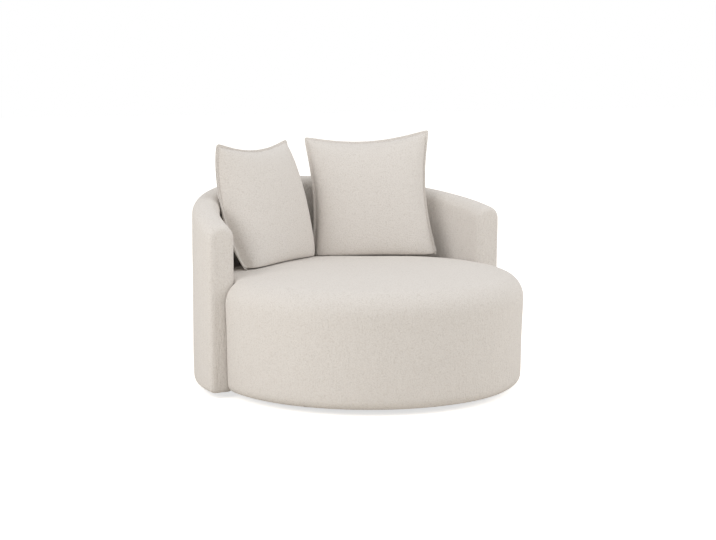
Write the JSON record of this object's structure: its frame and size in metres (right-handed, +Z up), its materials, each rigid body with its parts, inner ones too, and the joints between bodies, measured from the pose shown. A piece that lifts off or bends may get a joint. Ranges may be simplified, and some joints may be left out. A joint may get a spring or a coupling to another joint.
{
  "type": "loveseat",
  "caption": "Round loveseat with an upholstered seat drum, a curved back that runs down into the arms, and loose cushions that lean on the back.",
  "frame": {"origin": "on the floor under the centre of the seat drum", "axes": "+Z up, +X towards the arm that is on the right as seen from the front, the sitter faces -Y"},
  "size_m": [1.311, 1.296, 0.9607],
  "materials": {
    "boucle": "nubby",
    "foam": "matte",
    "wadding": "matte",
    "dark_cloth": "matte",
    "canvas": "matte",
    "plywood": "matte",
    "timber": "matte",
    "board": "matte",
    "spring_steel": "satin",
    "black_plastic": "matte"
  },
  "bodies": {
    "loveseat": {"seat_base_ring": "plywood", "seat_base_bars": "timber", "seat_centre_leg": "timber", "seat_posts": "timber", "seat_top_ring": "plywood", "seat_side_board": "board", "seat_springs": "spring_steel", "spring_clips": "spring_steel", "spring_canvas": "canvas", "seat_foam_core": "foam", "seat_wadding": "wadding", "seat_side_foam": "foam", "seat_cover": "boucle", "seat_dust_cover": "dark_cloth", "seat_glides": "black_plastic", "back_bottom_rail": "plywood", "back_middle_rail": "plywood", "back_top_rail": "plywood", "back_posts": "timber", "back_end_panels": "plywood", "back_inner_board": "board", "back_outer_board": "board", "back_inner_foam": "foam", "back_outer_foam": "foam", "back_top_foam": "foam", "back_end_foams": "foam", "back_cover": "boucle", "back_dust_cover": "dark_cloth", "back_glides": "black_plastic", "joining_plates": "spring_steel", "plate_screws": "spring_steel"},
    "left_cushion": {"left_cushion_front": "boucle", "left_cushion_rear": "boucle", "left_cushion_fill": "wadding"},
    "right_cushion": {"right_cushion_front": "boucle", "right_cushion_rear": "boucle", "right_cushion_fill": "wadding"}
  },
  "joints": [
    {"name": "left_cushion_lift", "type": "slide", "parent": "loveseat", "child": "left_cushion", "axis": [0, 0, 1], "range_m": [0, 0.4]},
    {"name": "right_cushion_lift", "type": "slide", "parent": "loveseat", "child": "right_cushion", "axis": [0, 0, 1], "range_m": [0, 0.4]}
  ]
}
